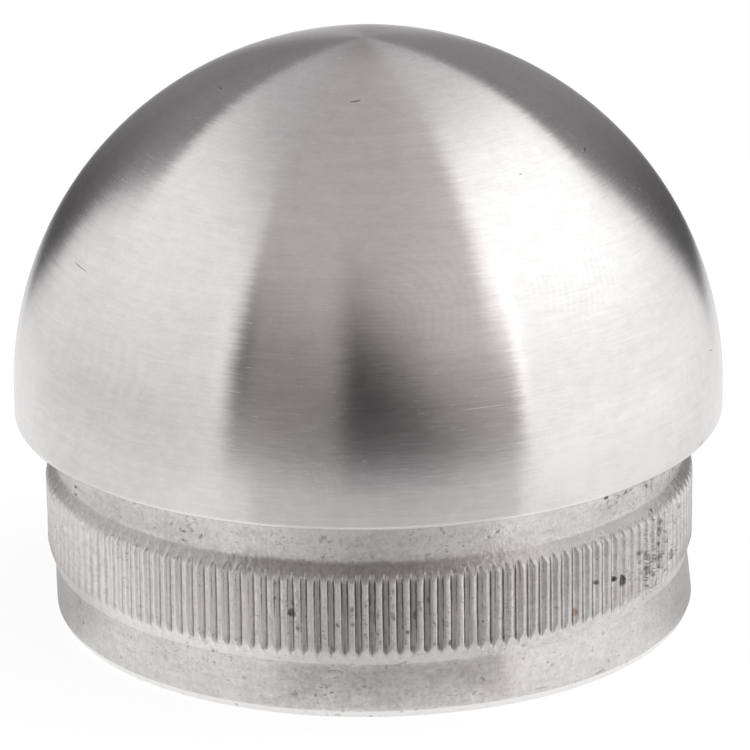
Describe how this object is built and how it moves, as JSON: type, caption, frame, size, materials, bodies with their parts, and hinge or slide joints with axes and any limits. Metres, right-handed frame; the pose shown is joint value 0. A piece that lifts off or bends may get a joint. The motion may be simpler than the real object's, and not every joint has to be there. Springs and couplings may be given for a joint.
{
  "type": "tube end cap",
  "caption": "Domed cast end cap for round handrail tube: a brushed half-round head on a hollow, ribbed spigot that is hammered into the tube.",
  "frame": {"origin": "on the cap's axis, in the plane of the spigot's open end, on which the cap stands", "axes": "+Z along the axis, from the spigot's open end towards the crown of the dome"},
  "size_m": [0.0424, 0.0424, 0.035],
  "materials": {
    "cast_steel": "dome and skirt ground to a satin finish in rings round the axis; spigot and hollow left as cast, grey, with small pits"
  },
  "bodies": {
    "root": {"end_cap": "cast_steel"}
  },
  "joints": []
}
